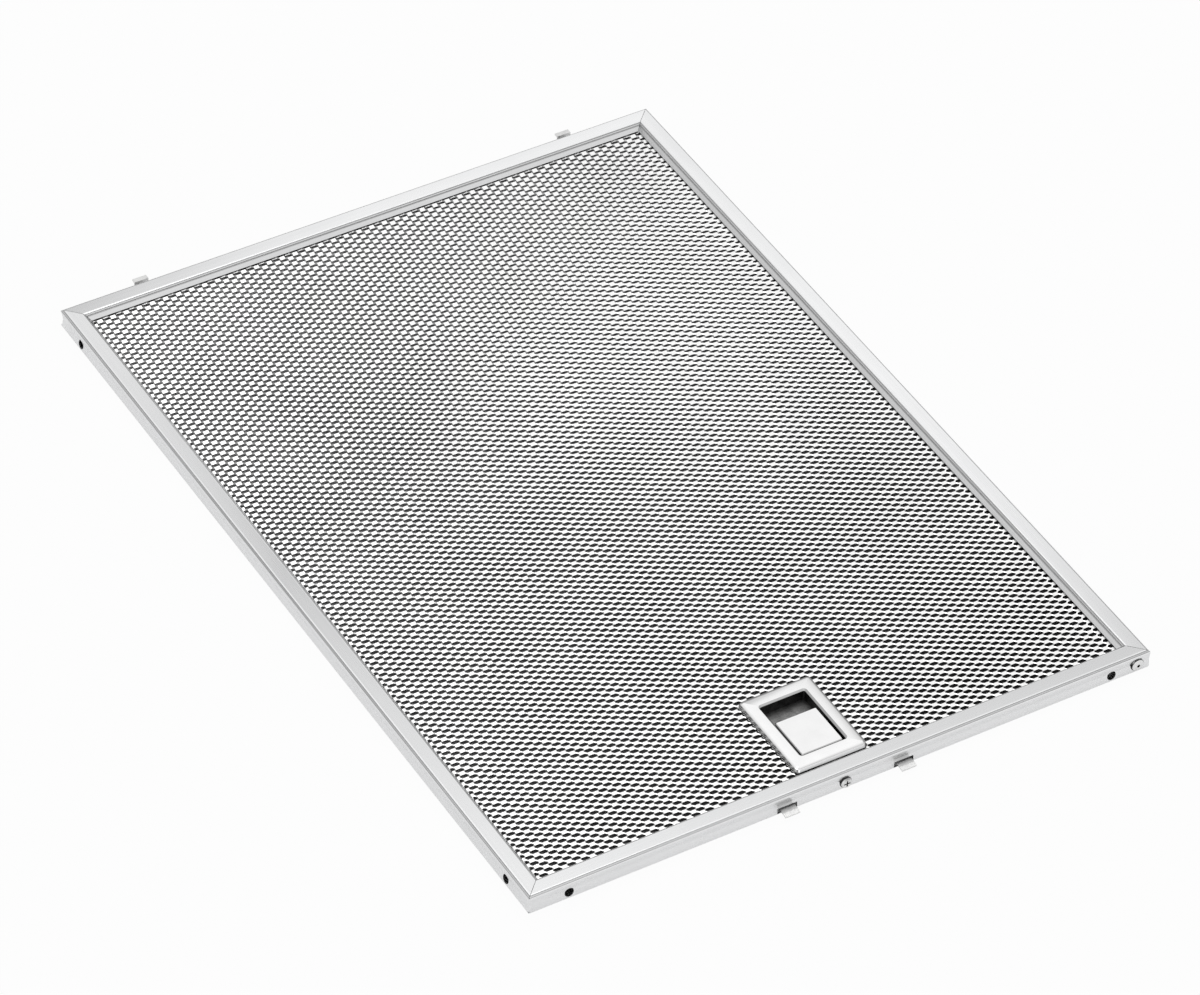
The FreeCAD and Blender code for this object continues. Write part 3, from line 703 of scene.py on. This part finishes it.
def coil_piece(node, name, steps_per_turn=24, sides=10):
    """Round-wire coil in the place of the node."""
    low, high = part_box(node)
    x, z, _ = round_node(node)
    radius = (high.z - low.z) / 2 / MM - spring_wire_radius
    start, end = low.y / MM + spring_wire_radius, high.y / MM - spring_wire_radius
    steps = spring_turns * steps_per_turn
    points = []
    faces = []
    for step in range(steps + 1):
        turn = 2 * math.pi * step / steps_per_turn
        middle = start + (end - start) * step / steps
        for side in range(sides):
            round_wire = 2 * math.pi * side / sides
            from_axis = radius + spring_wire_radius * math.cos(round_wire)
            points.append((x + from_axis * math.cos(turn),
                           middle + spring_wire_radius * math.sin(round_wire),
                           z + from_axis * math.sin(turn)))
        if step < steps:
            here = step * sides
            there = here + sides
            faces += [(here + n, here + (n + 1) % sides, there + (n + 1) % sides, there + n)
                      for n in range(sides)]
    faces += [tuple(range(sides)), tuple(range(steps * sides, (steps + 1) * sides))]
    mesh = round_mesh(name, points, faces)
    piece = link_piece(name, mesh, wire_finish, "filter", node)
    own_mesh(piece)


smooth_copy("frame_strip", "frame_folded_strip", strip_finish, "filter",
            strip_smooth_angle)
bezel = smooth_copy("handle_bezel", "handle_bezel_casting", bezel_finish, "filter",
                    round_smooth_angle)
# Painted shade in the handle's recess and at the bezel's foot.
finish_where(bezel, hollow_shade_finish, in_recess)
smooth_copy("thumb_plate", "thumb_plate_cap", thumb_finish, "latch",
            round_smooth_angle)
screw = smooth_copy("handle_screw", "handle_screw_head", screw_finish, "filter",
                    strip_smooth_angle)
# Painted shade in the screw's cross and round its rim.
finish_where(screw, hollow_shade_finish, in_cross_or_rim)
rivet = turned_piece("corner_rivet", "corner_rivet_head", rivet_profile(), rivet_finish)
# Painted shade in the rivet's hole and round its rim.
finish_where(rivet, hollow_shade_finish, in_rivet_hole_or_rim)
for side in ("left", "right"):
    coil_piece("latch_spring_" + side, "spring_coil_" + side)
for node in ("back_plate_screws", "latch_plate", "rear_hook_left", "rear_hook_right"):
    give_finish(nodes[node].data, zinc_finish)
# Painted shade on the handle's well.
give_finish(nodes["handle_back_plate"].data, well_shade_finish)
# Painted shade: the middle inner sheet is dark.
give_finish(nodes["inner_mesh_2"].data, inner_shade_finish)

outer_form = dict(widths=strand_widths, thickness=strand_thickness, leans=strand_lean, shift=0.0,
                  solid=True)
inner_form = dict(widths=(inner_strand_width,) * 2, thickness=0.0, leans=(0.0,) * 3,
                  shift=inner_shift, solid=False)
mesh_piece("front_mesh_strands", "front_mesh", strand_finish, upward=True, **outer_form)
mesh_piece("back_mesh_strands", "back_mesh", strand_finish, upward=False, **outer_form)
# Painted shade: the inner strand sheets are dark.
mesh_piece("inner_mesh_3_strands", "inner_mesh_3", inner_shade_finish, upward=True, **inner_form)
mesh_piece("inner_mesh_1_strands", "inner_mesh_1", inner_shade_finish, upward=False, **inner_form)


# Studio

def white_floor():
    """Pale floor: seen as white by camera and reflections, and still darkened by the shadow."""
    mesh = bpy.data.meshes.new("studio_floor")
    corners = [(-1, -1), (1, -1), (1, 1), (-1, 1)]
    mesh.from_pydata([(x * floor_half, y * floor_half, 0) for x, y in corners], [], [(0, 1, 2, 3)])
    floor = bpy.data.objects.new("studio_floor", mesh)
    bpy.context.scene.collection.objects.link(floor)
    material, tree = new_material("white_paper_floor")
    paths = tree.nodes.new("ShaderNodeLightPath")
    seen = math_node(tree, "ADD",
                     math_node(tree, "MULTIPLY", paths.outputs["Is Camera Ray"], floor_seen),
                     math_node(tree, "MULTIPLY", paths.outputs["Is Glossy Ray"], floor_mirrored))
    paper = tree.nodes.new("ShaderNodeBsdfDiffuse")
    paper.inputs["Color"].default_value = (*paper_colour, 1.0)
    glow = tree.nodes.new("ShaderNodeEmission")
    glow.inputs["Color"].default_value = white
    glow.inputs["Strength"].default_value = 1.0
    mix = tree.nodes.new("ShaderNodeMixShader")
    tree.links.new(seen, mix.inputs[0])
    tree.links.new(paper.outputs[0], mix.inputs[1])
    tree.links.new(glow.outputs[0], mix.inputs[2])
    output = tree.nodes.new("ShaderNodeOutputMaterial")
    tree.links.new(mix.outputs[0], output.inputs["Surface"])
    mesh.materials.append(material)


def level_ramp(tree, value, stops):
    """A grey ramp from (place, level) stops."""
    ramp = tree.nodes.new("ShaderNodeValToRGB")
    ramp.color_ramp.interpolation = "EASE"
    elements = ramp.color_ramp.elements
    while len(elements) < len(stops):
        elements.new(0.5)
    for element, (place, level) in zip(elements, stops):
        element.position = place
        element.color = (level, level, level, 1.0)
    tree.links.new(value, ramp.inputs[0])
    return ramp.outputs[0]


def studio_world():
    """Soft room: bright above the far side, darker round that, pale again near the horizon."""
    world = bpy.data.worlds.new("soft_studio")
    bpy.context.scene.world = world
    world.use_nodes = True
    tree = world.node_tree
    tree.nodes.clear()
    place = tree.nodes.new("ShaderNodeTexCoord")
    towards = tree.nodes.new("ShaderNodeVectorMath")
    towards.operation = "DOT_PRODUCT"
    towards.inputs[1].default_value = Vector(bright_side).normalized()
    tree.links.new(place.outputs["Generated"], towards.inputs[0])
    paths = tree.nodes.new("ShaderNodeLightPath")
    room = tree.nodes.new("ShaderNodeBackground")
    room.inputs["Strength"].default_value = room_strength
    tree.links.new(level_ramp(tree, towards.outputs["Value"], room_levels), room.inputs["Color"])
    backdrop = tree.nodes.new("ShaderNodeBackground")
    backdrop.inputs["Color"].default_value = white
    mix = tree.nodes.new("ShaderNodeMixShader")
    tree.links.new(paths.outputs["Is Camera Ray"], mix.inputs[0])
    tree.links.new(room.outputs[0], mix.inputs[1])
    tree.links.new(backdrop.outputs[0], mix.inputs[2])
    output = tree.nodes.new("ShaderNodeOutputWorld")
    tree.links.new(mix.outputs[0], output.inputs["Surface"])


def soft_box():
    """A square lamp above, turned to the middle of the floor."""
    lamp = bpy.data.lights.new("overhead_soft_box", "AREA")
    lamp.shape = "RECTANGLE"
    lamp.size = soft_box_size
    lamp.size_y = soft_box_size
    lamp.energy = soft_box_power
    holder = bpy.data.objects.new("overhead_soft_box", lamp)
    bpy.context.scene.collection.objects.link(holder)
    holder.location = soft_box_place
    holder.rotation_euler = (-Vector(soft_box_place)).to_track_quat("-Z", "Y").to_euler()


def photo_camera():
    data = bpy.data.cameras.new("photo_camera")
    data.sensor_width = camera_sensor
    data.lens = camera_lens
    data.clip_end = camera_far_clip * MM
    holder = bpy.data.objects.new("photo_camera", data)
    bpy.context.scene.collection.objects.link(holder)
    right = Vector(camera_right).normalized()
    up = -Vector(camera_down)
    up = (up - up.dot(right) * right).normalized()
    back = right.cross(up)
    turn = Matrix((right, up, back)).transposed().to_4x4()
    holder.matrix_world = Matrix.Translation(Vector(camera_place) * MM) @ turn
    bpy.context.scene.camera = holder


white_floor()
studio_world()
soft_box()
photo_camera()
bpy.context.scene.view_settings.view_transform = "Standard"
